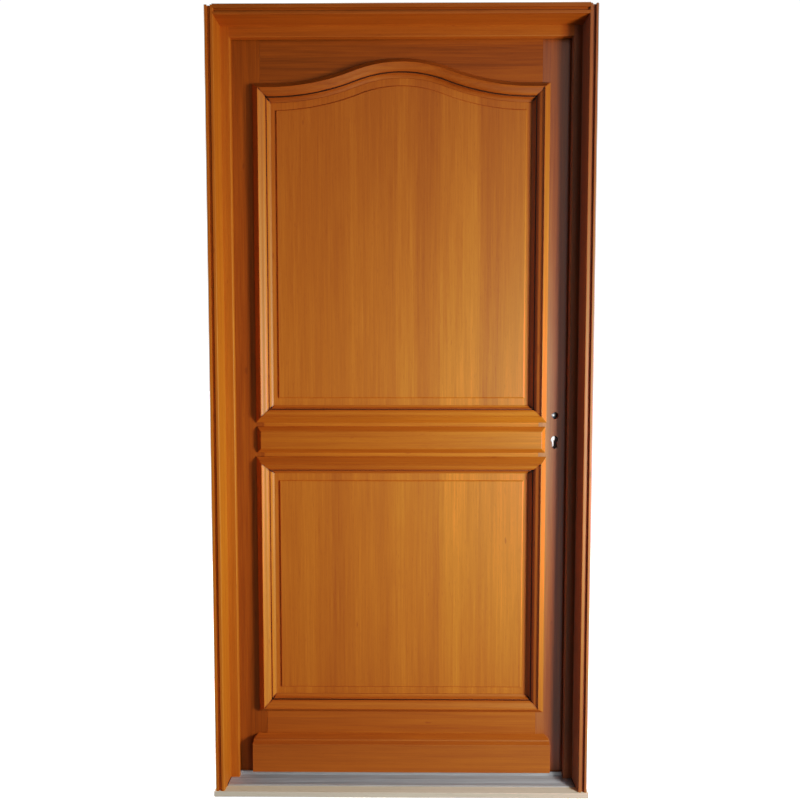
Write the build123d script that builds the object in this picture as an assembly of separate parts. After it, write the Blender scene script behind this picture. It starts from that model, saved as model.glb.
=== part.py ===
from build123d import *
import math
import os

# A timber entrance door in its frame, closed, with its outside to the front. Millimetres.
# X runs to the right as seen from outside, Y into the building and Z up.
# The origin lies under the sill batten, midway between the jambs, level with the frame's front.

# Leaf: widths from the middle out, heights from the bottom up
PANEL_W = 800.0  # clear width between the stiles
STILE_W = 92.0
BOTTOM_RAIL_H = 210.0
LOWER_PANEL_H = 720.0
MID_RAIL_H = 143.0
UPPER_PANEL_H = 919.5  # at the sides, below the arch
ARCH_RISE = 68.0
TOP_RAIL_H = 85.5  # above the crown of the arch
LEAF_T = 50.0
TENON_T = 16.0
TENON_LEN = 60.0
TENON_STUB = 15.0  # the mid rail's short tenon stops in front of the lock
TENON_SHOULDER = 18.0  # set in from the rail's edges
TENON_PLAY = 0.2

# Arch of the upper panel: a crown arc between two reverse arcs, and level ends
ARCH_LEVEL_END = 32.0
ARCH_CROWN_SHARE = 0.365  # of the half width that the crown arc takes

# Frame: widths from its outer faces, depths from its front
JAMB_W = 39.0  # at the rebate that the leaf lies in
JAMB_EDGE_W = 24.0  # at the front
HEAD_H = 47.0
HEAD_EDGE_H = 28.0
HEAD_STANDS_PROUD = 2.0  # above the ends of the jambs
REVEAL_SPLAY = 5.0
REVEAL_DEPTH = 52.0
STOP_T = 15.0
LEAF_LAP = 12.0  # of the leaf behind the stops
LEAF_GAP = 4.0
SEAL_GAP = 3.0  # from the stop to the leaf
ARRIS_R = 3.0
FRAME_TENON_LEN = 25.0
FRAME_TENON_T = 26.0
FRAME_TENON_SHARES = (2 / 3, 1 / 3)  # of the head's height, down from its top

# Groove along the front edge of jambs and head
GROOVE_W = 9.5
GROOVE_D = 6.0
JAMB_GROOVE_IN = 6.5
HEAD_GROOVE_IN = 11.0

# Seals
KERF_W = 3.0
KERF_D = 6.0
KERF_IN = 8.0  # from the stop's edge
SEAL_BULB_W = 8.0
SEAL_PLAY = 0.3
FOOT_SEAL_W = 9.0
FOOT_SEAL_HELD = 6.0  # depth of its groove in the leaf
FOOT_SEAL_FROM_BACK = 20.0

# Sill: raw batten below, aluminium threshold on top
BATTEN_T = 15.0
BATTEN_D = 120.0
BATTEN_PAST_FRAME = 5.0
BATTEN_PROUD = 3.0
SILL_FRONT = 24.0  # behind the frame's front
SILL_BACK_IN = 2.0
SILL_LIP_H = 4.0
SILL_SLOPE_H = 10.0
SILL_UPSTAND_H = 20.0
SILL_UPSTAND_T = 4.0
SILL_BACK_H = 8.0
SILL_WALL = 2.5
SILL_RIB_W = 3.0
SILL_GRIP_W = 1.6
SILL_GRIP_D = 0.8
SILL_GRIP_SHARES = (0.3, 0.42, 0.54)  # of the slope's depth
SILL_PAD_T = 2.0
LEAF_OVER_SILL = 5.0

# Section of the panel mouldings: u from the stile's edge to the panel, h from the leaf's face
MOULD_LAP = 21.5  # over the stile
MOULD_TOE_H = 3.0
RIDGE_LAP = 3.0  # ridge over the stile
RIDGE_H = 23.5
OGEE_TURN_U = 7.0
OGEE_TURN_H = 16.5
OGEE_FOOT_U = 16.0
OGEE_FOOT_H = 8.0
OGEE_HOLLOW = 1.2
OGEE_ROUND = 1.3
QUIRK_H = 3.0
FILLET_W = 3.5
COVE_W = 9.0
COVE_EDGE_H = 1.5
COVE_BOW = 2.4
PANEL_HELD = 10.5  # of the panel in the moulding's groove
BACK_MOULD_LAP = 10.0
BACK_MOULD_H = 7.0
BACK_BEVEL_W = 18.0
BACK_EDGE_H = 4.0

# Fielded panels
MARGIN_DEPTH = 8.0  # of the panel's margin behind the leaf's faces
PANEL_PLAY = 1.0
SIDE_MARGIN = 13.5
END_MARGIN = 20.5
FIELD_RISE = 4.0
FIELD_BEVEL = 3.0

# Batten on the mid rail and weatherboard at the foot
MID_BATTEN_H = 76.0
MID_BATTEN_LAP = 19.0  # over each stile
MID_BATTEN_T = 16.0
MID_BATTEN_BEVEL = 13.0
DRIP_LAP = 37.0  # weatherboard over each stile
DRIP_UP = 21.0  # from the leaf's foot to the weatherboard
DRIP_H = 100.0
DRIP_PROUD = 34.0
DRIP_SLOPE_PROUD = 21.0
DRIP_SLOPE_FALL = 8.0
DRIP_NOSE_H = 3.0
DRIP_LEDGE_FALL = 5.0
DRIP_HIP = 12.0
DRIP_GROOVE_W = 6.0
DRIP_GROOVE_D = 5.0
DRIP_GROOVE_IN = 7.0

# Hinges
HINGE_H = 140.0
HINGE_END = 150.0  # from the leaf's ends to the outer hinges
BARREL_R = 7.0
BARREL_OFF = 8.0  # axis behind the leaf's inner face
PIN_R = 4.0
PIN_PLAY = 0.05
PIN_END = 5.0
HINGE_PLATE_W = 35.0
HINGE_PLATE_T = 2.0
HINGE_GAP = 0.3  # between the two halves
HINGE_SCREW_SHARES = ((0.14, 0.35), (0.5, 0.7), (0.86, 0.35))  # of a plate's height and width

# Screws
SCREW_HEAD_R = 4.0
SCREW_R = 1.9
SCREW_HEAD_H = 2.0
SCREW_SIDES = 8
SCREW_LEN = 20.0
SCREW_PLAY = 0.05

# Mortise lock
BACKSET = 45.0
LOCK_CENTRES = 70.0  # from the cylinder up to the follower
CASE_T = 16.0
CASE_D = 66.0
CASE_END = 45.0  # past the cylinder and the follower
CASE_WALL = 1.5
CASE_PLAY = 0.3
FACE_T = 3.0
FACE_W = 20.0
FACE_PAST_CASE = 35.0
FACE_SCREW_IN = 14.0
FOLLOWER_R = 9.4
FOLLOWER_PLAY = 0.1
SPINDLE_SQUARE = 8.0
ARM_LEN = 22.0
ARM_W = 6.0
ARM_PLAY = 0.3
ARM_TURN = 30.0  # degrees that draw the latch in
CYLINDER_R = 8.5
CYLINDER_H = 33.0
CYLINDER_LEG_W = 10.0
WOOD_EASE = 2.5  # wood cut wider than the lock's holes
SPINDLE_HOLE_R = 10.0
BOLT_T = 11.0
BOLT_PLAY = 0.3
BOLT_IN = 0.5  # drawn-in bolts lie that far inside the faceplate
LATCH_H = 26.0
LATCH_HEAD = 24.0
LATCH_THROW = 12.0
LATCH_SHANK_H = 9.0
LATCH_SHANK_T = 4.5
LATCH_LUG = 5.5
LATCH_LUG_PLAY = 1.5
DEADBOLT_H = 32.0
DEADBOLT_UP = 29.0  # above the cylinder
DEADBOLT_LEN = 44.0
DEADBOLT_THROW = 20.0

# Strike plate in the lock jamb
STRIKE_T = 2.0
STRIKE_W = 24.0
STRIKE_PAST_FACE = 5.0
STRIKE_EASE = 1.0
STRIKE_POCKET = 3.0  # past the thrown bolt

OVER = 5.0  # overrun of cuts

# Places worked out from those sizes
LEAF_FACE = REVEAL_DEPTH + STOP_T + SEAL_GAP
LEAF_BACK = LEAF_FACE + LEAF_T
LEAF_MID = LEAF_FACE + LEAF_T / 2
FRAME_DEPTH = LEAF_BACK
STOP_BACK = REVEAL_DEPTH + STOP_T
SIGHT_X = PANEL_W / 2
LEAF_X = SIGHT_X + STILE_W
REBATE_X = LEAF_X + LEAF_GAP
FRAME_X = REBATE_X + JAMB_W
STOP_X = LEAF_X - LEAF_LAP
JAMB_STOP = FRAME_X - STOP_X  # stop's edge from a jamb's outer face
HEAD_STOP = HEAD_H + LEAF_GAP + LEAF_LAP  # stop's edge below the head's top
FRAME_FOOT = BATTEN_T
SILL_BACK_Z = FRAME_FOOT + SILL_BACK_H
LEAF_FOOT = SILL_BACK_Z + LEAF_OVER_SILL
LOWER_FOOT = LEAF_FOOT + BOTTOM_RAIL_H
MID_FOOT = LOWER_FOOT + LOWER_PANEL_H
UPPER_FOOT = MID_FOOT + MID_RAIL_H
SPRING = UPPER_FOOT + UPPER_PANEL_H
CROWN = SPRING + ARCH_RISE
LEAF_TOP = CROWN + TOP_RAIL_H
HEAD_TOP = LEAF_TOP + LEAF_GAP + HEAD_H
JAMB_TOP = HEAD_TOP - HEAD_STANDS_PROUD
ARCH_HALF = SIGHT_X - ARCH_LEVEL_END
ARCH_TURN = 2 * math.atan(ARCH_RISE / ARCH_HALF)
CROWN_R = ARCH_HALF * ARCH_CROWN_SHARE / math.sin(ARCH_TURN)
REVERSE_R = ARCH_HALF / math.sin(ARCH_TURN) - CROWN_R
MOULD_W = OGEE_FOOT_U + FILLET_W + COVE_W
PANEL_IN = MOULD_W - PANEL_HELD + PANEL_PLAY  # panel's edge from the stile's edge
FIELD_SIDE = MOULD_W + SIDE_MARGIN
FIELD_END = MOULD_W + END_MARGIN
MID_CENTRE = MID_FOOT + MID_RAIL_H / 2
LOCK_X = LEAF_X - BACKSET
CYLINDER_Z = MID_CENTRE
FOLLOWER_Z = CYLINDER_Z + LOCK_CENTRES
CASE_FOOT = CYLINDER_Z - CASE_END
CASE_TOP = FOLLOWER_Z + CASE_END
CASE_X = (LEAF_X - FACE_T - CASE_D, LEAF_X - FACE_T)
CASE_Y = (LEAF_MID - CASE_T / 2, LEAF_MID + CASE_T / 2)
FACE_FOOT = CASE_FOOT - FACE_PAST_CASE
FACE_TOP = CASE_TOP + FACE_PAST_CASE
LATCH_Z = FOLLOWER_Z + ARM_LEN
DEADBOLT_Z = CYLINDER_Z + DEADBOLT_UP
BOLT_TIP = LEAF_X - BOLT_IN
HINGE_X = -(LEAF_X + LEAF_GAP / 2)
HINGE_Y = LEAF_BACK + BARREL_OFF
SCREW_INSET = (SCREW_HEAD_R - SCREW_R) * math.cos(math.pi / SCREW_SIDES)  # of a head's flats
SCREW_TAPER = math.degrees(math.atan2(SCREW_INSET, SCREW_HEAD_H))

# Each rail's tenons: lower and upper edge, and length
TENONS = {
    "top": ((SPRING + TENON_SHOULDER, LEAF_TOP - TENON_SHOULDER), TENON_LEN),
    "mid": ((MID_FOOT + TENON_SHOULDER, UPPER_FOOT - TENON_SHOULDER), TENON_STUB),
    "bottom": ((LEAF_FOOT + TENON_SHOULDER, LOWER_FOOT - TENON_SHOULDER), TENON_LEN),
}

FRONT_TO_BACK = (0, 1, 0)
LEFT, RIGHT = -1, 1


# Basic shapes

def span(centre, size):
    """The two ends of a size set about its centre."""
    return (centre - size / 2, centre + size / 2)


def grown(pair, play):
    """A span made longer by play at both ends."""
    return (pair[0] - play, pair[1] + play)


def block(x, y, z):
    """A rectangular solid between pairs of coordinates, given in either order."""
    low = [min(pair) for pair in (x, y, z)]
    size = [abs(pair[1] - pair[0]) for pair in (x, y, z)]
    return Pos(*low) * Box(*size, align=(Align.MIN, Align.MIN, Align.MIN))


def outline(points):
    """A flat face with straight sides."""
    return make_face(Polyline(*points, close=True))


def upright(face, foot, top):
    """A plan section drawn up from foot to top."""
    return Pos(0, 0, foot) * extrude(face, top - foot, dir=(0, 0, 1))


def along_x(face, half):
    """A section drawn in depth and height, run to both sides of the middle."""
    return Pos(-half, 0, 0) * extrude(Plane.YZ * face, 2 * half, dir=(1, 0, 0))


def through(face, front, back):
    """An elevation drawn in X and Z, run from front to back."""
    return Pos(0, front, 0) * extrude(Plane.XZ * face, back - front, dir=FRONT_TO_BACK)


def bowed(start, end, bow):
    """An arc that bulges by bow to the left of the line from start to end."""
    run_x, run_y = end[0] - start[0], end[1] - start[1]
    length = math.hypot(run_x, run_y)
    middle_x = (start[0] + end[0]) / 2 - bow * run_y / length
    middle_y = (start[1] + end[1]) / 2 + bow * run_x / length
    return ThreePointArc(start, (middle_x, middle_y), end)


def eased(face, corners, radius):
    """A face with the named corners rounded."""
    picked = [min(face.vertices(), key=lambda v: (v.center() - Vector(*c)).length) for c in corners]
    return fillet(picked, radius)


def rod(x, y, foot, top, radius):
    """An upright round bar."""
    return Pos(x, y, foot) * Cylinder(radius, top - foot, align=(Align.CENTER, Align.CENTER, Align.MIN))


def cross_rod(x, z, front, back, radius):
    """A round bar that runs from front to back."""
    return through(Pos(x, z) * Circle(radius), front, back)


def screw(place, direction, play=0.0):
    """A plain countersunk screw whose head's top lies at the place, or the hole for it."""
    head = extrude(RegularPolygon(SCREW_HEAD_R + play, SCREW_SIDES), SCREW_HEAD_H, taper=SCREW_TAPER)
    neck = Pos(0, 0, SCREW_HEAD_H) * RegularPolygon(SCREW_R + play, SCREW_SIDES)
    shank = extrude(neck, SCREW_LEN + play)
    return Plane(origin=place, z_dir=direction) * (head + shank)


# Frame

def frame_points(edge, stop, rebate):
    """Section of a frame member: distance from its outer face, and depth."""
    return [(0, 0), (edge, 0), (edge + REVEAL_SPLAY, REVEAL_DEPTH), (stop, REVEAL_DEPTH),
            (stop, STOP_BACK), (rebate, STOP_BACK), (rebate, FRAME_DEPTH), (0, FRAME_DEPTH)]


def frame_face(edge, stop, rebate):
    """The section of a frame member with its front and stop arrises eased."""
    face = outline(frame_points(edge, stop, rebate))
    return eased(face, [(edge, 0), (stop, REVEAL_DEPTH)], ARRIS_R)


def jamb_body(side, top):
    """A jamb without its groove and cuts."""
    face = frame_face(JAMB_EDGE_W, JAMB_STOP, JAMB_W)
    body = upright(face, FRAME_FOOT, top)
    if side == LEFT:
        return Pos(-FRAME_X, 0, 0) * body
    return Pos(FRAME_X, 0, 0) * mirror(body, about=Plane.YZ)


def jamb_x(side, inward):
    """The X of a plane that lies that far in from a jamb's outer face."""
    return side * (FRAME_X - inward)


def jamb(side):
    """A jamb with its front groove, seal kerf and the head's mortise."""
    past = (FRAME_FOOT - OVER, JAMB_TOP + OVER)
    groove_x = (jamb_x(side, JAMB_GROOVE_IN), jamb_x(side, JAMB_GROOVE_IN + GROOVE_W))
    kerf_in = JAMB_STOP - KERF_IN
    kerf_x = (jamb_x(side, kerf_in), jamb_x(side, kerf_in - KERF_W))
    body = jamb_body(side, JAMB_TOP)
    body -= block(groove_x, (-OVER, GROOVE_D), past)
    body -= block(kerf_x, (STOP_BACK - KERF_D, STOP_BACK + OVER), past)
    return body - head_tenon(side, TENON_PLAY)


def head_tenon(side, play=0.0):
    """The head's tenon in a jamb, or the mortise for it."""
    rebate = jamb_x(side, JAMB_W)
    x = (rebate - side * OVER, rebate + side * (FRAME_TENON_LEN + play))
    z = [HEAD_TOP - share * HEAD_H for share in FRAME_TENON_SHARES]
    return block(x, grown(span(LEAF_MID, FRAME_TENON_T), play), grown(z, play))


def frame_head():
    """The head, fitted between the jambs and scribed to them."""
    face = frame_face(HEAD_EDGE_H, HEAD_STOP, HEAD_H)
    bar = upright(face, 0, 2 * FRAME_X)
    turned = Plane(origin=(-FRAME_X, 0, HEAD_TOP), x_dir=(0, 0, -1), z_dir=(1, 0, 0))
    body = turned * bar
    groove_z = (HEAD_TOP - HEAD_GROOVE_IN, HEAD_TOP - HEAD_GROOVE_IN - GROOVE_W)
    kerf_z = HEAD_TOP - HEAD_STOP + KERF_IN
    past = (-FRAME_X, FRAME_X)
    body -= block(past, (-OVER, GROOVE_D), groove_z)
    body -= block(past, (STOP_BACK - KERF_D, STOP_BACK + OVER), (kerf_z, kerf_z + KERF_W))
    for side in (LEFT, RIGHT):
        body -= jamb_body(side, HEAD_TOP + OVER)
        body += head_tenon(side)
    return body


def sill_section():
    """Section of the threshold: lip, slope with grip grooves, upstand and flat back."""
    upstand = STOP_BACK - SILL_UPSTAND_T
    back = FRAME_DEPTH - SILL_BACK_IN
    face = outline([(SILL_FRONT, 0), (SILL_FRONT, SILL_LIP_H), (upstand, SILL_SLOPE_H),
                    (upstand, SILL_UPSTAND_H), (STOP_BACK, SILL_UPSTAND_H), (STOP_BACK, SILL_BACK_H),
                    (back, SILL_BACK_H), (back, 0)])
    for share in SILL_GRIP_SHARES:
        y = SILL_FRONT + share * (upstand - SILL_FRONT)
        face -= Pos(y, slope_height(y)) * Rectangle(SILL_GRIP_W, 2 * SILL_GRIP_D)
    return face


def slope_height(y):
    """Height of the threshold's slope at a depth."""
    run = STOP_BACK - SILL_UPSTAND_T - SILL_FRONT
    return SILL_LIP_H + (SILL_SLOPE_H - SILL_LIP_H) * (y - SILL_FRONT) / run


def sill_hollows():
    """The open chambers under the threshold's wall."""
    front = SILL_FRONT + SILL_RIB_W
    upstand = STOP_BACK - SILL_UPSTAND_T
    wall = SILL_WALL + SILL_GRIP_D
    under_slope = [(front, 0), (front, slope_height(front) - SILL_WALL),
                   (upstand, slope_height(upstand) - wall), (upstand, 0)]
    back = FRAME_DEPTH - SILL_BACK_IN - SILL_RIB_W
    rib = (STOP_BACK + back) / 2
    top = SILL_BACK_H - SILL_WALL
    spaces = [under_slope]
    for start, end in ((STOP_BACK, rib - SILL_RIB_W / 2), (rib + SILL_RIB_W / 2, back)):
        spaces.append([(start, 0), (start, top), (end, top), (end, 0)])
    return spaces


def pad_room(side):
    """The room for the pad between the threshold's nose and a jamb."""
    shares = (SILL_FRONT / REVEAL_DEPTH, 1)
    near = [(jamb_x(side, JAMB_EDGE_W + REVEAL_SPLAY * share), REVEAL_DEPTH * share) for share in shares]
    far = [(x - side * SILL_PAD_T, y) for x, y in reversed(near)]
    return upright(outline(near + far), FRAME_FOOT, FRAME_FOOT + SILL_UPSTAND_H)


def threshold():
    """The aluminium threshold, scribed round the jambs."""
    half = FRAME_X - JAMB_EDGE_W
    body = along_x(sill_section(), half)
    for points in sill_hollows():
        body -= along_x(outline(points), half)
    body = Pos(0, 0, FRAME_FOOT) * body
    for side in (LEFT, RIGHT):
        body -= jamb_body(side, JAMB_TOP)
        body -= pad_room(side)
    return body


def threshold_pads():
    """A thin rubber pad at each end of the threshold's nose."""
    bar = Pos(0, 0, FRAME_FOOT) * along_x(sill_section(), FRAME_X)
    return Compound([solid for side in (LEFT, RIGHT) for solid in (bar & pad_room(side)).solids()])


def sill_batten():
    """The raw batten that the frame stands on."""
    half = FRAME_X + BATTEN_PAST_FRAME
    return block((-half, half), (-BATTEN_PROUD, BATTEN_D - BATTEN_PROUD), (0, BATTEN_T))


def seal_face():
    """Section of a seal: its bulb on the stop's back, and its foot in the kerf."""
    bulb_h = SEAL_GAP - SEAL_PLAY
    half, foot = SEAL_BULB_W / 2, KERF_W / 2 - SEAL_PLAY
    bulb = make_face([Line((-half, 0), (half, 0)), ThreePointArc((half, 0), (0, bulb_h), (-half, 0))])
    return bulb + outline([(-foot, 0), (foot, 0), (foot, SEAL_PLAY - KERF_D), (-foot, SEAL_PLAY - KERF_D)])


def jamb_seal(side):
    """The seal down a jamb's stop."""
    x = jamb_x(side, JAMB_STOP - KERF_IN - KERF_W / 2)
    return Pos(x, STOP_BACK, 0) * upright(seal_face(), SILL_BACK_Z, LEAF_TOP)


def head_seal():
    """The seal along the head's stop."""
    z = HEAD_TOP - HEAD_STOP + KERF_IN + KERF_W / 2
    bar = upright(seal_face(), 0, 2 * STOP_X)
    return Plane(origin=(-STOP_X, STOP_BACK, z), x_dir=(0, 0, -1), z_dir=(1, 0, 0)) * bar


# Leaf framing

def rail_tenon(side, z, length, play=0.0):
    """A rail's tenon in a stile, or the mortise for it."""
    x = (side * (SIGHT_X - OVER), side * (SIGHT_X + length + play))
    return block(x, grown(span(LEAF_MID, TENON_T), play), grown(z, play))


def foot_seal_groove():
    """The groove in the leaf's foot that holds the lower seal."""
    y = span(LEAF_BACK - FOOT_SEAL_FROM_BACK, FOOT_SEAL_W)
    return block((-LEAF_X, LEAF_X), y, (LEAF_FOOT - OVER, LEAF_FOOT + FOOT_SEAL_HELD))


def stile(side):
    """A stile with the mortises for the three rails."""
    body = block((side * SIGHT_X, side * LEAF_X), (LEAF_FACE, LEAF_BACK), (LEAF_FOOT, LEAF_TOP))
    for z, length in TENONS.values():
        body -= rail_tenon(side, z, length, TENON_PLAY)
    return body - foot_seal_groove()


def with_tenons(body, name):
    """A rail with its two tenons."""
    z, length = TENONS[name]
    for side in (LEFT, RIGHT):
        body += rail_tenon(side, z, length)
    return body


def arch_edges(inset, half):
    """The arch, moved towards the panel by inset, from its right end to its left end."""
    level = SPRING - inset
    crown_r, reverse_r = CROWN_R - inset, REVERSE_R + inset
    turn = (crown_r * math.sin(ARCH_TURN), CROWN - CROWN_R + crown_r * math.cos(ARCH_TURN))
    part = ARCH_TURN / 2
    flank = (ARCH_HALF - reverse_r * math.sin(part), level + reverse_r * (1 - math.cos(part)))
    right = [Line((half, level), (ARCH_HALF, level)), ThreePointArc((ARCH_HALF, level), flank, turn)]
    crown = ThreePointArc(turn, (0, CROWN - inset), (-turn[0], turn[1]))
    left = [ThreePointArc((-turn[0], turn[1]), (-flank[0], flank[1]), (-ARCH_HALF, level)),
            Line((-ARCH_HALF, level), (-half, level))]
    return right + [crown] + left


def under_arch(inset, half, foot):
    """An elevation with straight sides and foot, closed above by the arch."""
    level = SPRING - inset
    sides = Polyline((-SIGHT_X, level), (-SIGHT_X, foot), (SIGHT_X, foot), (SIGHT_X, level))
    sheet = make_face(arch_edges(inset, SIGHT_X) + [sides])
    return sheet & outline([(-half, foot), (half, foot), (half, CROWN), (-half, CROWN)])


def top_rail():
    """The top rail, its lower edge cut to the arch."""
    whole = block((-SIGHT_X, SIGHT_X), (LEAF_FACE, LEAF_BACK), (SPRING, LEAF_TOP))
    arch = through(under_arch(0, SIGHT_X, UPPER_FOOT), LEAF_FACE - OVER, LEAF_BACK + OVER)
    return with_tenons(whole - arch, "top")


def mid_rail():
    """The rail between the two panels."""
    body = block((-SIGHT_X, SIGHT_X), (LEAF_FACE, LEAF_BACK), (MID_FOOT, UPPER_FOOT))
    return with_tenons(body, "mid")


def bottom_rail():
    """The bottom rail, grooved below for the seal."""
    body = block((-SIGHT_X, SIGHT_X), (LEAF_FACE, LEAF_BACK), (LEAF_FOOT, LOWER_FOOT))
    return with_tenons(body, "bottom") - foot_seal_groove()


def foot_seal():
    """The seal under the leaf, close above the threshold's flat back."""
    y = span(LEAF_BACK - FOOT_SEAL_FROM_BACK, FOOT_SEAL_W)
    return block((-LEAF_X, LEAF_X), y, (SILL_BACK_Z + SEAL_PLAY, LEAF_FOOT + FOOT_SEAL_HELD))


# Panel mouldings and panels

def moulding_face():
    """Section of a moulding: it clasps the stile's edge and holds the panel in a groove."""
    back = -LEAF_T
    toe, ridge = (-MOULD_LAP, MOULD_TOE_H), (-RIDGE_LAP, RIDGE_H)
    turn, foot = (OGEE_TURN_U, OGEE_TURN_H), (OGEE_FOOT_U, OGEE_FOOT_H)
    shelf = OGEE_FOOT_H - QUIRK_H
    cove = (OGEE_FOOT_U + FILLET_W, shelf)
    cove_foot = (MOULD_W, COVE_EDGE_H - MARGIN_DEPTH)
    held = MOULD_W - PANEL_HELD
    edges = [
        Polyline((0, 0), (-MOULD_LAP, 0), toe, ridge),
        bowed(ridge, turn, -OGEE_HOLLOW),
        bowed(turn, foot, OGEE_ROUND),
        Polyline(foot, (OGEE_FOOT_U, shelf), cove),
        bowed(cove, cove_foot, -COVE_BOW),
        Polyline(cove_foot, (MOULD_W, -MARGIN_DEPTH), (held, -MARGIN_DEPTH), (held, back + MARGIN_DEPTH),
                 (MOULD_W, back + MARGIN_DEPTH), (MOULD_W, back + MARGIN_DEPTH - BACK_EDGE_H),
                 (MOULD_W - BACK_BEVEL_W, back - BACK_MOULD_H), (-BACK_MOULD_LAP, back - BACK_MOULD_H),
                 (-BACK_MOULD_LAP, back), (0, back), (0, 0)),
    ]
    return make_face(edges)


def mitre_room(points):
    """A prism that keeps what lies between a member's two mitres."""
    return through(outline(points), LEAF_FACE - RIDGE_H - OVER, LEAF_BACK + BACK_MOULD_H + OVER)


def moulding(start, end, inward):
    """A straight moulding from corner to corner of a panel, mitred at both ends."""
    run = (Vector(end[0] - start[0], 0, end[1] - start[1])).normalized()
    length = math.dist(start, end) + 2 * MOULD_LAP
    first = Vector(start[0], LEAF_FACE, start[1]) - run * MOULD_LAP
    section = Plane(origin=first, x_dir=(inward[0], 0, inward[1]), z_dir=run)
    body = extrude(section * moulding_face(), length, dir=run)
    across = [(-MOULD_LAP, start, 1), (MOULD_W, start, 1), (MOULD_W, end, -1), (-MOULD_LAP, end, -1)]
    corners = [(p[0] + u * (inward[0] + way * run.X), p[1] + u * (inward[1] + way * run.Z))
               for u, p, way in across]
    return body & mitre_room(corners)


def arched_moulding():
    """The upper panel's top moulding, swept along the arch and mitred at both ends."""
    half = SIGHT_X + MOULD_LAP
    path = Pos(0, LEAF_FACE, 0) * (Plane.XZ * Wire(arch_edges(0, half)))
    section = Plane(origin=(half, LEAF_FACE, SPRING), x_dir=(0, 0, -1), z_dir=(-1, 0, 0))
    body = sweep(section * moulding_face(), path=path)
    high = ARCH_RISE + MOULD_LAP
    corners = [(-SIGHT_X + MOULD_W, SPRING - MOULD_W), (-SIGHT_X - high, SPRING + high),
               (SIGHT_X + high, SPRING + high), (SIGHT_X - MOULD_W, SPRING - MOULD_W)]
    return body & mitre_room(corners)


def panel(edge_face, field_face):
    """A fielded panel: a thin margin held in the mouldings and a raised field on both sides."""
    margin = (LEAF_FACE + MARGIN_DEPTH, LEAF_BACK - MARGIN_DEPTH)
    field = through(field_face, margin[0] - FIELD_RISE, margin[1] + FIELD_RISE)
    flat = field.faces().sort_by(Axis.Y)
    field = chamfer(flat[0].edges() + flat[-1].edges(), FIELD_BEVEL)
    return through(edge_face, *margin) + field


def rectangle(half, foot, top):
    """An elevation with four straight sides, set about the middle."""
    return outline([(-half, foot), (half, foot), (half, top), (-half, top)])


def upper_panel():
    """The tall panel, which follows the arch."""
    edge = under_arch(PANEL_IN, SIGHT_X - PANEL_IN, UPPER_FOOT + PANEL_IN)
    field = under_arch(FIELD_END, SIGHT_X - FIELD_SIDE, UPPER_FOOT + FIELD_END)
    return panel(edge, field)


def lower_panel():
    """The short panel below the mid rail."""
    edge = rectangle(SIGHT_X - PANEL_IN, LOWER_FOOT + PANEL_IN, MID_FOOT - PANEL_IN)
    field = rectangle(SIGHT_X - FIELD_SIDE, LOWER_FOOT + FIELD_END, MID_FOOT - FIELD_END)
    return panel(edge, field)


def panel_mouldings():
    """The mouldings round both panels, by name."""
    left, right = -SIGHT_X, SIGHT_X
    made = {"upper_moulding_arch": arched_moulding(),
            "lower_moulding_top": moulding((right, MID_FOOT), (left, MID_FOOT), (0, -1))}
    for name, foot, top in (("upper", UPPER_FOOT, SPRING), ("lower", LOWER_FOOT, MID_FOOT)):
        made[name + "_moulding_left"] = moulding((left, top), (left, foot), (1, 0))
        made[name + "_moulding_bottom"] = moulding((left, foot), (right, foot), (0, 1))
        made[name + "_moulding_right"] = moulding((right, foot), (right, top), (-1, 0))
    return made


# Pieces on the leaf's face

def mid_batten():
    """The bevelled batten on the mid rail."""
    half = SIGHT_X + MID_BATTEN_LAP
    body = block((-half, half), (LEAF_FACE - MID_BATTEN_T, LEAF_FACE), span(MID_CENTRE, MID_BATTEN_H))
    front = body.faces().sort_by(Axis.Y)[0]
    return chamfer(front.edges(), MID_BATTEN_BEVEL)


def weatherboard():
    """The weatherboard: sloped top, nosing and ledge above a plain face, drip groove below."""
    foot = LEAF_FOOT + DRIP_UP
    top = foot + DRIP_H
    nose = top - DRIP_SLOPE_FALL
    ledge = nose - DRIP_NOSE_H
    front, slope = LEAF_FACE - DRIP_PROUD, LEAF_FACE - DRIP_SLOPE_PROUD
    face = outline([(LEAF_FACE, foot), (LEAF_FACE, top), (slope, nose), (slope, ledge),
                    (front, ledge - DRIP_LEDGE_FALL), (front, foot)])
    groove = front + DRIP_GROOVE_IN
    face -= outline([(groove, foot), (groove + DRIP_GROOVE_W, foot),
                     (groove + DRIP_GROOVE_W, foot + DRIP_GROOVE_D), (groove, foot + DRIP_GROOVE_D)])
    half = SIGHT_X + DRIP_LAP
    body = along_x(face, half)
    for side in (LEFT, RIGHT):
        hip = outline([(side * half, nose), (side * half, top), (side * (half - DRIP_HIP), top)])
        body -= through(hip, front - OVER, LEAF_FACE + OVER)
    return body


# Hinges

def hinge_feet():
    """The heights of the hinges' lower ends, by name."""
    low = LEAF_FOOT + HINGE_END
    high = LEAF_TOP - HINGE_END - HINGE_H
    return {"bottom": low, "middle": (low + high) / 2, "top": high}


def hinge_plate_x(on_leaf):
    """The two faces of a hinge plate, the bare one first, and the way into the wood."""
    if on_leaf:
        return (-LEAF_X, HINGE_PLATE_T - LEAF_X), RIGHT
    return (-REBATE_X, -REBATE_X - HINGE_PLATE_T), LEFT


def hinge_plate(foot, on_leaf):
    """A hinge's flat plate, or the recess for it."""
    x, _ = hinge_plate_x(on_leaf)
    return block(x, (LEAF_BACK - HINGE_PLATE_W, LEAF_BACK), (foot, foot + HINGE_H))


def hinge_screws(foot, on_leaf, play=0.0):
    """The screws through a hinge plate, or the holes for them."""
    x, way = hinge_plate_x(on_leaf)
    made = []
    for height_share, width_share in HINGE_SCREW_SHARES:
        place = (x[0], LEAF_BACK - width_share * HINGE_PLATE_W, foot + height_share * HINGE_H)
        made.append(screw(place, (way, 0, 0), play))
    return made


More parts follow.
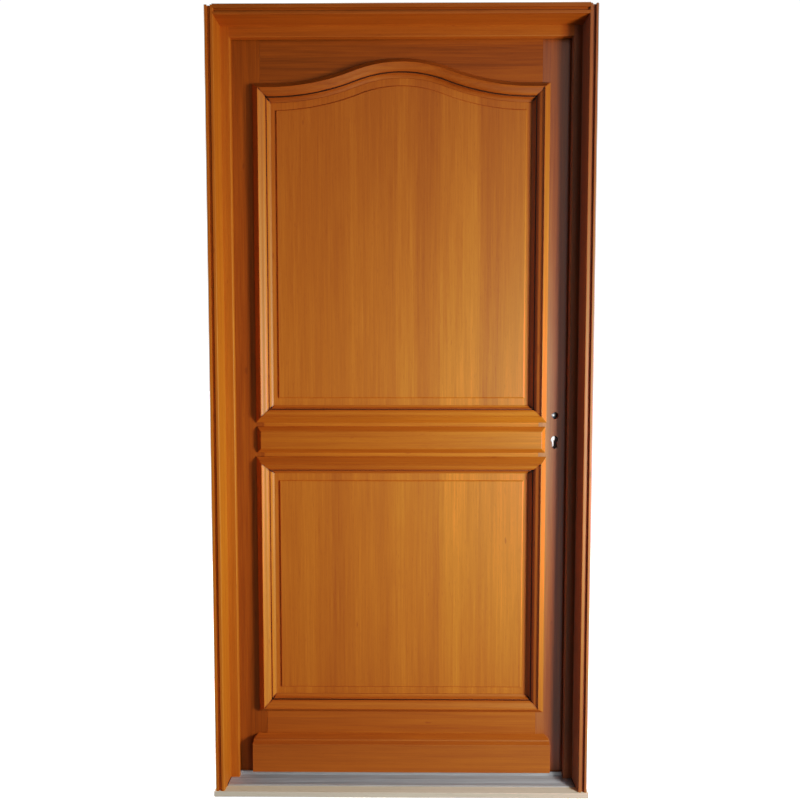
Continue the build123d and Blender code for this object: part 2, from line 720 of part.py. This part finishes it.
def hinge_half(foot, on_leaf):
    """A lift-off hinge half: the frame's half carries the pin, and the leaf's half drops over it."""
    x, _ = hinge_plate_x(on_leaf)
    top = foot + HINGE_H
    low, high = span(foot + HINGE_H / 2, HINGE_GAP)
    barrel_z = (high, top) if on_leaf else (foot, low)
    body = hinge_plate(foot, on_leaf) + block(x, (LEAF_BACK, HINGE_Y), barrel_z)
    body += rod(HINGE_X, HINGE_Y, *barrel_z, BARREL_R)
    if on_leaf:
        body -= rod(HINGE_X, HINGE_Y, high - OVER, top - PIN_END, PIN_R + PIN_PLAY)
    else:
        body += rod(HINGE_X, HINGE_Y, low, top - 2 * PIN_END, PIN_R)
    for hole in hinge_screws(foot, on_leaf, SCREW_PLAY):
        body -= hole
    return body


def hung(wood, on_leaf):
    """A jamb or stile with the hinges' recesses and screw holes cut."""
    for foot in hinge_feet().values():
        wood -= hinge_plate(foot, on_leaf)
        for hole in hinge_screws(foot, on_leaf, SCREW_PLAY):
            wood -= hole
    return wood


# Lock

def cylinder_hole(ease=0.0):
    """Elevation of the hole for a profile cylinder."""
    foot = CYLINDER_Z + CYLINDER_R - CYLINDER_H
    leg_r = CYLINDER_LEG_W / 2
    leg = span(LOCK_X, CYLINDER_LEG_W + 2 * ease)
    hole = Pos(LOCK_X, CYLINDER_Z) * Circle(CYLINDER_R + ease)
    hole += Pos(LOCK_X, foot + leg_r) * Circle(leg_r + ease)
    stem = outline([(leg[0], foot + leg_r), (leg[1], foot + leg_r),
                    (leg[1], CYLINDER_Z), (leg[0], CYLINDER_Z)])
    return hole + stem


def bolt_room(height, centre, play):
    """Depth and height of a bolt's passage."""
    return grown(span(LEAF_MID, BOLT_T), play), grown(span(centre, height), play)


def faceplate_room(play=0.0):
    """The faceplate's solid without holes, or the recess for it."""
    y = grown(span(LEAF_MID, FACE_W), play)
    return block((LEAF_X - FACE_T, LEAF_X), y, grown((FACE_FOOT, FACE_TOP), play))


def faceplate_screws(play=0.0):
    """The two screws that hold the faceplate, or the holes for them."""
    heights = (FACE_FOOT + FACE_SCREW_IN, FACE_TOP - FACE_SCREW_IN)
    return [screw((LEAF_X, LEAF_MID, z), (LEFT, 0, 0), play) for z in heights]


def lock_faceplate():
    """The faceplate on the leaf's edge, with the bolts' openings."""
    body = faceplate_room()
    for height, centre in ((LATCH_H, LATCH_Z), (DEADBOLT_H, DEADBOLT_Z)):
        body -= block((LEAF_X - FACE_T - OVER, LEAF_X + OVER), *bolt_room(height, centre, BOLT_PLAY))
    for hole in faceplate_screws(SCREW_PLAY):
        body -= hole
    return body


def lock_holes(body):
    """A wall of the lock case with the follower's bore and the cylinder's hole."""
    past = (CASE_Y[0] - OVER, CASE_Y[1] + OVER)
    body -= cross_rod(LOCK_X, FOLLOWER_Z, *past, FOLLOWER_R + FOLLOWER_PLAY)
    return body - through(cylinder_hole(), *past)


def lock_case():
    """The lock case: a folded tray, open to the faceplate and to its cover."""
    body = block(CASE_X, (CASE_Y[0] + CASE_WALL, CASE_Y[1]), (CASE_FOOT, CASE_TOP))
    inside = (CASE_X[0] + CASE_WALL, CASE_X[1] + OVER)
    room_z = (CASE_FOOT + CASE_WALL, CASE_TOP - CASE_WALL)
    return lock_holes(body - block(inside, (CASE_Y[0] - OVER, CASE_Y[1] - CASE_WALL), room_z))


def lock_cover():
    """The flat cover of the lock case."""
    return lock_holes(block(CASE_X, (CASE_Y[0], CASE_Y[0] + CASE_WALL), (CASE_FOOT, CASE_TOP)))


def lock_follower():
    """The follower, turned so that its arm holds the latch in."""
    hub = cross_rod(LOCK_X, FOLLOWER_Z, *CASE_Y, FOLLOWER_R)
    arm_y = (LEAF_MID + ARM_PLAY, CASE_Y[1] - CASE_WALL - ARM_PLAY)
    arm = block(span(LOCK_X, ARM_W), arm_y, (FOLLOWER_Z, FOLLOWER_Z + ARM_LEN))
    square = Pos(LOCK_X, FOLLOWER_Z) * Rectangle(SPINDLE_SQUARE, SPINDLE_SQUARE)
    body = hub + arm - through(square, CASE_Y[0] - OVER, CASE_Y[1] + OVER)
    axis = Axis((LOCK_X, LEAF_MID, FOLLOWER_Z), FRONT_TO_BACK)
    return body.rotate(axis, -ARM_TURN)


def latch_bolt():
    """The latch: bevelled head, flat shank and the lug that the follower's arm pushes."""
    y, z = bolt_room(LATCH_H, LATCH_Z, 0)
    neck = BOLT_TIP - LATCH_HEAD
    lug_end = LOCK_X - ARM_LEN * math.sin(math.radians(ARM_TURN)) - ARM_W / 2 - LATCH_LUG_PLAY
    tail = lug_end - LATCH_LUG
    head = block((neck, BOLT_TIP), y, z)
    bevel = upright(outline([(BOLT_TIP, y[0]), (BOLT_TIP, y[1]), (BOLT_TIP - LATCH_THROW, y[0])]), *z)
    shank = block((tail, neck), (y[0], y[0] + LATCH_SHANK_T), span(LATCH_Z, LATCH_SHANK_H))
    lug = block((tail, lug_end), (y[0], y[1]), span(LATCH_Z, LATCH_SHANK_H))
    return head - bevel + shank + lug


def deadbolt():
    """The deadbolt, drawn in."""
    return block((BOLT_TIP - DEADBOLT_LEN, BOLT_TIP), *bolt_room(DEADBOLT_H, DEADBOLT_Z, 0))


def lock_stile():
    """The lock stile: mortise for the case, recess for the faceplate, and holes right through."""
    body = stile(RIGHT)
    case_x = (CASE_X[0] - CASE_PLAY, LEAF_X + OVER)
    body -= block(case_x, grown(CASE_Y, CASE_PLAY), grown((CASE_FOOT, CASE_TOP), CASE_PLAY))
    body -= faceplate_room(CASE_PLAY)
    past = (LEAF_FACE - OVER, LEAF_BACK + OVER)
    body -= cross_rod(LOCK_X, FOLLOWER_Z, *past, SPINDLE_HOLE_R)
    body -= through(cylinder_hole(WOOD_EASE), *past)
    for hole in faceplate_screws(SCREW_PLAY):
        body -= hole
    return body


# Strike

def strike_span():
    """Depth and height of the strike plate."""
    return span(LEAF_MID, STRIKE_W), (FACE_FOOT - STRIKE_PAST_FACE, FACE_TOP + STRIKE_PAST_FACE)


def strike_screws(play=0.0):
    """The two screws of the strike plate, or the holes for them."""
    _, z = strike_span()
    heights = (z[0] + FACE_SCREW_IN, z[1] - FACE_SCREW_IN)
    return [screw((REBATE_X, LEAF_MID, height), (RIGHT, 0, 0), play) for height in heights]


def strike_holes(past_tip):
    """The rooms that the thrown bolts enter, run on past their tips."""
    bolts = ((LATCH_H, LATCH_Z, LATCH_THROW), (DEADBOLT_H, DEADBOLT_Z, DEADBOLT_THROW))
    return [block((REBATE_X - OVER, BOLT_TIP + throw + past_tip), *bolt_room(height, centre, STRIKE_EASE))
            for height, centre, throw in bolts]


def strike_plate():
    """The strike plate, with an opening for each bolt."""
    body = block((REBATE_X, REBATE_X + STRIKE_T), *strike_span())
    for hole in strike_holes(OVER) + strike_screws(SCREW_PLAY):
        body -= hole
    return body


def lock_jamb():
    """The lock jamb with the strike's recess, the bolts' pockets and the screw holes."""
    body = jamb(RIGHT) - block((REBATE_X, REBATE_X + STRIKE_T), *strike_span())
    for hole in strike_holes(STRIKE_POCKET) + strike_screws(SCREW_PLAY):
        body -= hole
    return body


# All nodes, by name

def frame_nodes():
    """What stays with the wall."""
    made = {
        "hinge_jamb": hung(jamb(LEFT), False),
        "lock_jamb": lock_jamb(),
        "frame_head": frame_head(),
        "threshold": threshold(),
        "threshold_pads": threshold_pads(),
        "sill_batten": sill_batten(),
        "hinge_jamb_seal": jamb_seal(LEFT),
        "lock_jamb_seal": jamb_seal(RIGHT),
        "frame_head_seal": head_seal(),
        "strike_plate": strike_plate(),
        "strike_screws": Compound([s.solid() for s in strike_screws()]),
    }
    screws = []
    for name, foot in hinge_feet().items():
        made["hinge_" + name + "_frame_half"] = hinge_half(foot, False)
        screws += [s.solid() for s in hinge_screws(foot, False)]
    made["hinge_frame_screws"] = Compound(screws)
    return made


def leaf_nodes():
    """What swings, with the lock in it."""
    made = {
        "hinge_stile": hung(stile(LEFT), True),
        "lock_stile": lock_stile(),
        "top_rail": top_rail(),
        "mid_rail": mid_rail(),
        "bottom_rail": bottom_rail(),
        "upper_panel": upper_panel(),
        "lower_panel": lower_panel(),
        "mid_rail_batten": mid_batten(),
        "weatherboard": weatherboard(),
        "leaf_foot_seal": foot_seal(),
        "lock_case": lock_case(),
        "lock_cover": lock_cover(),
        "lock_faceplate": lock_faceplate(),
        "faceplate_screws": Compound([s.solid() for s in faceplate_screws()]),
        "lock_follower": lock_follower(),
        "latch_bolt": latch_bolt(),
        "deadbolt": deadbolt(),
    }
    made.update(panel_mouldings())
    screws = []
    for name, foot in hinge_feet().items():
        made["hinge_" + name + "_leaf_half"] = hinge_half(foot, True)
        screws += [s.solid() for s in hinge_screws(foot, True)]
    made["hinge_leaf_screws"] = Compound(screws)
    return made


os.makedirs("parts", exist_ok=True)
for node, shape in {**frame_nodes(), **leaf_nodes()}.items():
    export_step(shape, "parts/" + node + ".step")
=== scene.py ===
import bpy
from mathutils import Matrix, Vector

# Looks of a stained wooden front door. Metres, in the part's own frame:
# X to the right seen from outside, Y into the building, Z up.

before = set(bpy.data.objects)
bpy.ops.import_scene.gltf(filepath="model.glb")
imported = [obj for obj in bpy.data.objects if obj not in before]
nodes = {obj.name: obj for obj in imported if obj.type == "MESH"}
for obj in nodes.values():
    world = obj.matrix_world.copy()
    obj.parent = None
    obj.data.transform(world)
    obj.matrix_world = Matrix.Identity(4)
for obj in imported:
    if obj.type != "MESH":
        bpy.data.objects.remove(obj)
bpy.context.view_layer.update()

# Camera
CAMERA_PLACE = (0.0111, -1.786, 1.2438)
CAMERA_AIM = (-0.0027, 0.0, 1.1488)
LENS_MM = 28.8
SENSOR_MM = 36.0

# Key light: a soft source to the right of the door
KEY_PLACE = (1.95, -1.35, 0.95)
KEY_AIM = (0.45, 0.07, 0.95)
KEY_SIZE = (0.52, 0.8)
KEY_POWER = 28.0
KEY_SPREAD = 1.62  # radians

# Rear light: a larger soft source for the inside of the door
REAR_PLACE = (-1.7, 1.9, 1.9)
REAR_AIM = (0.0, 0.12, 1.1)
REAR_SIZE = (1.0, 1.2)
REAR_POWER = 55.0
REAR_SPREAD = 3.0  # radians

# Tone curve: light in the scene, and light in the picture
TONE_POINTS = ((0.03, 0.024), (0.12, 0.12), (0.25, 0.275), (0.5, 0.455), (0.75, 0.62))

# Surroundings: dim to the left of the camera, hazy to its right, white behind the door
SHADE_COLOUR = (0.015, 0.016, 0.019)
HAZE_COLOUR = (0.92, 1.12, 1.26)
SIDE_COLOUR = (0.08, 0.085, 0.095)
LEFT_COLOUR = (0.40, 0.43, 0.48)
HAZE_SPAN = (0.13, 0.30)  # of the direction's share along X
SIDE_SPAN = (0.45, 0.70)  # of the direction's share along X
LEFT_SPAN = (-0.85, -0.6)  # of the direction's share along X
BACK_COLOUR = (0.45, 0.46, 0.48)
OVERHEAD_COLOUR = (1.1, 1.1, 1.1)
BACKDROP_COLOUR = (1.05, 1.05, 1.05)  # as seen behind the door
BACK_SPAN = (0.0, 0.3)  # of the direction's share along Y
OVERHEAD_SPAN = (0.15, 0.6)  # of the direction's share along Z

FLOOR_SIZE = 60.0
FLOOR_DROP = 0.0005  # floor just below the batten
FLOOR_ROUGH = 0.9
FLOOR_GLOW = 0.74
FLOOR_STOPS = (0.3, 0.7)  # of the noise
FLOOR_SHADE = 0.97

# Screen colours: their range, and the curve that turns them into light
SCREEN_MAX = 255
SCREEN_KNEE, SCREEN_SLOPE = 0.04045, 12.92
SCREEN_OFFSET, SCREEN_POWER = 0.055, 2.4

# Colours, as screen values
STAIN_DARK = (130, 64, 10)
STAIN_MID = (181, 95, 20)
STAIN_LIGHT = (224, 122, 36)
PORE_COLOUR = (112, 53, 10)
PAINTED_CREASE_SHADE = (40, 16, 5)
RAW_DARK = (176, 146, 112)
RAW_MID = (230, 206, 172)
RAW_LIGHT = (240, 224, 198)
ALUMINIUM = (188, 187, 187)
STEEL = (150, 150, 152)
ZINC = (176, 176, 172)
RUBBER = (26, 26, 27)
FLOOR = (238, 237, 235)

# Grain: features per metre across the fibres, and how much each shifts the stain
GRAIN_STRETCH = 0.02  # along the fibres against across
GRAIN_DETAIL, SLOW_DETAIL, PORE_DETAIL, FLECK_DETAIL = 3.0, 1.0, 1.0, 0.0
NOISE_MEAN = 0.5
SLOW_SCALE, SLOW_SHIFT = 14.0, 0.45
STREAK_SCALE, STREAK_SHIFT = 110.0, 0.45
FINE_SCALE, FINE_SHIFT = 420.0, 0.40
STAIN_STOPS = (0.0, 0.5, 1.0)

# Pores and flecks: the noise that shows, and how dark it gets
PORE_SCALE, PORE_STRETCH = 900.0, 0.05
PORE_SPAN, PORE_SHARE = (0.62, 0.78), 0.35
FLECK_SCALE, FLECK_STRETCH = 80.0, 0.3
FLECK_SPAN, FLECK_SHARE = (0.82, 0.90), 0.5

# Glued staves of the panels
STAVE_W, STAVE_SHIFT, STAVE_SCATTER = 0.06, 0.16, 0.7

# Painted shade in the creases of the mouldings: a dark colour where little open sky is seen
CREASE_REACH = 0.006
CREASE_SPAN = (0.72, 0.98)  # of the open sky seen from a spot
CREASE_SAMPLES = 8

# Finish of the wood
SATIN = 0.52
SATIN_SPREAD = 0.06
RAW_ROUGH, RAW_GLOSS = 0.8, 0.5
BLOOM_ROUGH = 0.5
BLOOM_TINT = (0.65, 0.95, 1.0, 1.0)
GRAIN_BUMP = 0.10
GRAIN_RELIEF = 0.0003

# Metal and rubber
METAL_STOPS, METAL_SHADE, METAL_SPREAD = (0.3, 0.7), 0.75, 0.08
THRESHOLD_ROUGH, THRESHOLD_METAL = 0.5, 0.4
ZINC_ROUGH, STEEL_ROUGH = 0.38, 0.35
DUST_STOPS, DUST_SHARE, RUBBER_ROUGH = (0.4, 0.8), 2.2, 0.7

# Seeds that set the noises apart
BOARD_SEED = 1.7  # from one board to the next
FINE_SEED, SLOW_SEED, PORE_SEED, FLECK_SEED = 3, 7, 11, 17
RAW_SEED, THRESHOLD_SEED, FLOOR_SEED = 40.0, 2.0, 0.0
ZINC_SEED, STEEL_SEED, DUST_SEED = 5.0, 9.0, 1.0

# Rounded edges
ARRIS_R = 0.0014
MOULDING_R = 0.0005
WELD_GAP = 0.00001
FLAT_ANGLE = 0.01
SHARP_ANGLE = 0.45
ROUND_STEPS = 3

# Axes that the grain runs along
ACROSS, UP = 0, 2

# The curve for all three colours together
ALL_COLOURS = 3


def linear(screen):
    """A screen colour as linear light."""
    light = []
    for value in screen:
        share = value / SCREEN_MAX
        if share <= SCREEN_KNEE:
            light.append(share / SCREEN_SLOPE)
        else:
            light.append(((share + SCREEN_OFFSET) / (1 + SCREEN_OFFSET)) ** SCREEN_POWER)
    return tuple(light) + (1.0,)


def scaled(colour, share):
    """A linear colour made darker or lighter."""
    return tuple(share * value for value in colour[:3]) + (1.0,)


class Look:
    """A material with short ways to add and join nodes."""

    def __init__(self, name):
        self.material = bpy.data.materials.new(name)
        self.material.use_nodes = True
        self.tree = self.material.node_tree
        self.shader = self.tree.nodes["Principled BSDF"]

    def add(self, kind, inputs=None, **settings):
        """A node with its settings, and its inputs set or joined."""
        node = self.tree.nodes.new("ShaderNode" + kind)
        for key, value in settings.items():
            setattr(node, key, value)
        for key, value in (inputs or {}).items():
            if isinstance(value, bpy.types.NodeSocket):
                self.tree.links.new(value, node.inputs[key])
            else:
                node.inputs[key].default_value = value
        return node

    def math(self, operation, first, second):
        """Two values joined by an operation."""
        return self.add("Math", {0: first, 1: second}, operation=operation).outputs[0]

    def shift(self, noise, amount):
        """A noise set about zero and scaled."""
        return self.math("MULTIPLY", self.math("SUBTRACT", noise, NOISE_MEAN), amount)

    def picked(self, value, span, share=1.0):
        """The part of a value within a span, as a share from 0."""
        inputs = {"Value": value, "From Min": span[0], "From Max": span[1], "To Max": share}
        return self.add("MapRange", inputs).outputs["Result"]

    def about(self, noise, middle, spread):
        """A noise brought between two values about a middle."""
        inputs = {"Value": noise, "To Min": middle - spread, "To Max": middle + spread}
        return self.add("MapRange", inputs).outputs["Result"]

    def mixed(self, factor, first, second):
        """A blend of two colours."""
        mix = self.add("Mix", {"Factor": factor, "A": first, "B": second}, data_type="RGBA")
        return mix.outputs["Result"]

    def ramp(self, factor, stops):
        """A colour ramp over places and colours."""
        node = self.add("ValToRGB", {"Fac": factor})
        points = node.color_ramp.elements
        while len(points) < len(stops):
            points.new(1.0)
        for point, (place, colour) in zip(points, stops):
            point.position = place
            point.color = colour
        return node.outputs["Color"]

    def set(self, **values):
        """Plain values on the shader."""
        for key, value in values.items():
            self.shader.inputs[key.replace("_", " ")].default_value = value

    def link(self, source, key):
        """A node's output joined to the shader."""
        self.tree.links.new(source, self.shader.inputs[key])


def grain(look, along, scale, seed, detail=GRAIN_DETAIL, stretch=GRAIN_STRETCH):
    """Noise drawn out along the fibres."""
    shares = [1.0, 1.0, 1.0]
    shares[along] = stretch
    place = look.add("TexCoord").outputs["Object"]
    mapped = look.add("Mapping", {"Vector": place, "Scale": shares, "Location": (seed, seed, seed)})
    noise = look.add("TexNoise", {"Vector": mapped.outputs["Vector"], "Scale": scale, "Detail": detail})
    return noise.outputs["Fac"]


def staves(look):
    """A random tone for each glued stave of a panel."""
    place = look.add("TexCoord").outputs["Object"]
    axis = look.add("SeparateXYZ", {"Vector": place}).outputs["X"]
    inputs = {"W": axis, "Scale": 1 / STAVE_W, "Randomness": STAVE_SCATTER}
    cells = look.add("TexVoronoi", inputs, voronoi_dimensions="1D")
    return look.add("SeparateColor", {"Color": cells.outputs["Color"]}).outputs["Red"]


def wood(name, along, seed, colours, tone_and_painted_shade, gloss, rough=SATIN, bloom=0.0):
    """Wood with fine straight grain, short dark pores and a few flecks."""
    look = Look(name)
    fine = grain(look, along, FINE_SCALE, seed + FINE_SEED)
    streaks = grain(look, along, STREAK_SCALE, seed)
    slow = grain(look, along, SLOW_SCALE, seed + SLOW_SEED, SLOW_DETAIL)
    figure = look.math("ADD", look.shift(streaks, STREAK_SHIFT), look.shift(fine, FINE_SHIFT))
    figure = look.math("ADD", figure, look.shift(slow, SLOW_SHIFT))
    if "panel" in name:
        figure = look.math("ADD", figure, look.shift(staves(look), STAVE_SHIFT))
    # The board's lightness shifts the stain: partly its own tone, partly painted shade or light for how the
    # light fell on that board
    factor = look.math("ADD", figure, NOISE_MEAN + tone_and_painted_shade)
    stain = look.ramp(factor, list(zip(STAIN_STOPS, (linear(colour) for colour in colours))))

    pores = grain(look, along, PORE_SCALE, seed + PORE_SEED, PORE_DETAIL, PORE_STRETCH)
    open_pores = look.picked(pores, PORE_SPAN, PORE_SHARE)
    flecks = grain(look, along, FLECK_SCALE, seed + FLECK_SEED, FLECK_DETAIL, FLECK_STRETCH)
    marks = look.math("MAXIMUM", open_pores, look.picked(flecks, FLECK_SPAN, FLECK_SHARE))
    body = look.mixed(marks, stain, linear(PORE_COLOUR))
    if "moulding" in name:
        # Painted shade: the mouldings' creases and quirks are darkened where the occlusion finds little
        # open sky
        sky = look.add("AmbientOcclusion", {"Distance": CREASE_REACH}, samples=CREASE_SAMPLES).outputs["AO"]
        body = look.mixed(look.picked(sky, CREASE_SPAN), linear(PAINTED_CREASE_SHADE), body)
    look.link(body, "Base Color")

    look.link(look.about(fine, rough, SATIN_SPREAD), "Roughness")
    look.set(Specular_IOR_Level=gloss)
    look.set(Sheen_Weight=bloom, Sheen_Roughness=BLOOM_ROUGH, Sheen_Tint=BLOOM_TINT)
    relief = look.math("SUBTRACT", fine, open_pores)
    bump = look.add("Bump", {"Height": relief, "Strength": GRAIN_BUMP, "Distance": GRAIN_RELIEF})
    look.link(bump.outputs["Normal"], "Normal")
    return look.material


def metal(name, colour, rough, along, seed, share=1.0):
    """Metal with fine drawn lines."""
    look = Look(name)
    lines = grain(look, along, FINE_SCALE, seed)
    base = linear(colour)
    look.link(look.ramp(lines, list(zip(METAL_STOPS, (scaled(base, METAL_SHADE), base)))), "Base Color")
    look.link(look.about(lines, rough, METAL_SPREAD), "Roughness")
    look.set(Metallic=share)
    return look.material


def rubber(name):
    """Matt black rubber with a faint dusty bloom."""
    look = Look(name)
    dust = grain(look, UP, STREAK_SCALE, DUST_SEED)
    base = linear(RUBBER)
    look.link(look.ramp(dust, list(zip(DUST_STOPS, (base, scaled(base, DUST_SHARE))))), "Base Color")
    look.set(Roughness=RUBBER_ROUGH)
    return look.material


STAIN = (STAIN_DARK, STAIN_MID, STAIN_LIGHT)
RAW = (RAW_DARK, RAW_MID, RAW_LIGHT)

# Each wooden piece: the way its grain runs, how much lighter or darker its board is, and its gloss. The
# lightness is partly the board's own tone and partly painted shade and light: the top and bottom rails, the
# weatherboard, the lock stile and the left and right mouldings were made darker or lighter to match the
# light that fell on them.
boards = {
    "hinge_jamb": (UP, 0.13, 0.25),
    "lock_jamb": (UP, -0.25, 0.5),
    "frame_head": (ACROSS, -0.08, 0.3),
    "hinge_stile": (UP, -0.35, 0.25),
    "lock_stile": (UP, -0.34, 0.85),
    "top_rail": (ACROSS, -0.33, 0.3),
    "mid_rail": (ACROSS, -0.06, 0.25),
    "bottom_rail": (ACROSS, -0.22, 0.35),
    "upper_panel": (UP, -0.01, 0.42),
    "lower_panel": (UP, -0.02, 0.4),
    "mid_rail_batten": (ACROSS, -0.13, 0.25),
    "weatherboard": (ACROSS, -0.2, 0.4),
    "upper_moulding_arch": (ACROSS, -0.17, 0.3),
    "upper_moulding_bottom": (ACROSS, 0.0, 0.3),
    "upper_moulding_left": (UP, 0.12, 0.45),
    "upper_moulding_right": (UP, -0.15, 0.6),
    "lower_moulding_top": (ACROSS, -0.2, 0.3),
    "lower_moulding_bottom": (ACROSS, -0.08, 0.3),
    "lower_moulding_left": (UP, 0.2, 0.35),
    "lower_moulding_right": (UP, -0.15, 0.6),
}

# Boards with a dusty bloom, and boards with a smoother finish than the rest
BLOOM = {"lock_jamb": 0.42}
POLISHED = {"lock_stile": 0.42}

looks = {}
for number, (name, (along, tone_and_painted_shade, gloss)) in enumerate(boards.items()):
    rough = POLISHED.get(name, SATIN)
    bloom = BLOOM.get(name, 0.0)
    looks[name] = wood(name, along, BOARD_SEED * number, STAIN, tone_and_painted_shade, gloss, rough, bloom)
looks["sill_batten"] = wood("sill_batten", ACROSS, RAW_SEED, RAW, 0.0, RAW_GLOSS, RAW_ROUGH)
looks["threshold"] = metal(
    "threshold", ALUMINIUM, THRESHOLD_ROUGH, ACROSS, THRESHOLD_SEED, THRESHOLD_METAL)

# Seals, lock and hinges
seal_look = rubber("seal")
zinc_look = metal("zinc", ZINC, ZINC_ROUGH, UP, ZINC_SEED)
steel_look = metal("steel", STEEL, STEEL_ROUGH, UP, STEEL_SEED)
for name in nodes:
    if name.endswith(("_seal", "_pads")):
        looks[name] = seal_look
    elif name.startswith(("lock_", "latch", "deadbolt", "strike_plate")) and name not in looks:
        looks[name] = steel_look
    elif name not in looks:
        looks[name] = zinc_look

for name, piece in nodes.items():
    piece.data.materials.clear()
    piece.data.materials.append(looks[name])


def round_edges(piece, radius):
    """Takes the sharpness off a piece's edges."""
    weld = piece.modifiers.new("weld", "WELD")
    weld.merge_threshold = WELD_GAP
    flat = piece.modifiers.new("flat", "DECIMATE")
    flat.decimate_type = "DISSOLVE"
    flat.angle_limit = FLAT_ANGLE
    bevel = piece.modifiers.new("round", "BEVEL")
    bevel.width = radius
    bevel.segments = ROUND_STEPS
    bevel.limit_method = "ANGLE"
    bevel.angle_limit = SHARP_ANGLE
    piece.modifiers.new("even", "WEIGHTED_NORMAL")


for name, piece in nodes.items():
    if name in boards or name in ("sill_batten", "threshold"):
        round_edges(piece, MOULDING_R if "moulding" in name else ARRIS_R)

# Floor, light and camera
bpy.ops.mesh.primitive_plane_add(size=FLOOR_SIZE, location=(0, 0, -FLOOR_DROP))
floor = bpy.context.object
floor.name = "floor"
floor_look = Look("floor")
tint = grain(floor_look, ACROSS, SLOW_SCALE, FLOOR_SEED, stretch=1.0)
pale = linear(FLOOR)
floor_tints = list(zip(FLOOR_STOPS, (scaled(pale, FLOOR_SHADE), pale)))
floor_look.link(floor_look.ramp(tint, floor_tints), "Base Color")
floor_look.set(Roughness=FLOOR_ROUGH, Emission_Color=pale, Emission_Strength=FLOOR_GLOW)
floor.data.materials.append(floor_look.material)
floor.visible_diffuse = False
floor.visible_glossy = False


def aimed(obj, place, aim):
    """Sets an object in its place, looking at a point."""
    obj.location = place
    obj.rotation_euler = (Vector(aim) - Vector(place)).to_track_quat("-Z", "Y").to_euler()
    bpy.context.collection.objects.link(obj)


def softbox(name, place, aim, size, power, spread):
    """A soft rectangular light."""
    data = bpy.data.lights.new(name, "AREA")
    data.shape = "RECTANGLE"
    data.size, data.size_y = size
    data.energy = power
    data.spread = spread
    aimed(bpy.data.objects.new(name, data), place, aim)


softbox("key", KEY_PLACE, KEY_AIM, KEY_SIZE, KEY_POWER, KEY_SPREAD)
softbox("rear", REAR_PLACE, REAR_AIM, REAR_SIZE, REAR_POWER, REAR_SPREAD)


def surroundings():
    """Light from all sides, set by direction."""
    world = bpy.data.worlds.new("studio")
    world.use_nodes = True
    tree = world.node_tree
    way = tree.nodes.new("ShaderNodeTexCoord")
    axes = tree.nodes.new("ShaderNodeSeparateXYZ")
    tree.links.new(way.outputs["Generated"], axes.inputs["Vector"])

    def mixed(share, first, second):
        """A blend of two colours."""
        mix = tree.nodes.new("ShaderNodeMix")
        mix.data_type = "RGBA"
        tree.links.new(share, mix.inputs["Factor"])
        for key, colour in (("A", first), ("B", second)):
            if isinstance(colour, tuple):
                mix.inputs[key].default_value = colour + (1.0,)
            else:
                tree.links.new(colour, mix.inputs[key])
        return mix.outputs["Result"]

    def faded(axis, ends, first, second):
        """One colour giving way to another along an axis."""
        share = tree.nodes.new("ShaderNodeMapRange")
        share.interpolation_type = "SMOOTHSTEP"
        share.inputs["From Min"].default_value, share.inputs["From Max"].default_value = ends
        tree.links.new(axes.outputs[axis], share.inputs["Value"])
        return mixed(share.outputs["Result"], first, second)

    hazy = faded("X", HAZE_SPAN, SHADE_COLOUR, HAZE_COLOUR)
    right = faded("X", SIDE_SPAN, hazy, SIDE_COLOUR)
    front = faded("X", LEFT_SPAN, LEFT_COLOUR, right)
    back = faded("Z", OVERHEAD_SPAN, BACK_COLOUR, OVERHEAD_COLOUR)
    whole = faded("Y", BACK_SPAN, front, back)
    path = tree.nodes.new("ShaderNodeLightPath")
    seen = mixed(path.outputs["Is Camera Ray"], whole, BACKDROP_COLOUR)
    tree.links.new(seen, tree.nodes["Background"].inputs["Color"])
    return world


bpy.context.scene.world = surroundings()

camera_data = bpy.data.cameras.new("camera")
camera_data.lens = LENS_MM
camera_data.sensor_width = SENSOR_MM
camera = bpy.data.objects.new("camera", camera_data)
aimed(camera, CAMERA_PLACE, CAMERA_AIM)
bpy.context.scene.camera = camera


def set_tone(view):
    """A photograph's contrast: deep shades, and soft high lights."""
    view.view_transform = "Standard"
    view.use_curve_mapping = True
    curve = view.curve_mapping.curves[ALL_COLOURS]
    for place in TONE_POINTS:
        curve.points.new(*place)
    view.curve_mapping.update()


set_tone(bpy.context.scene.view_settings)
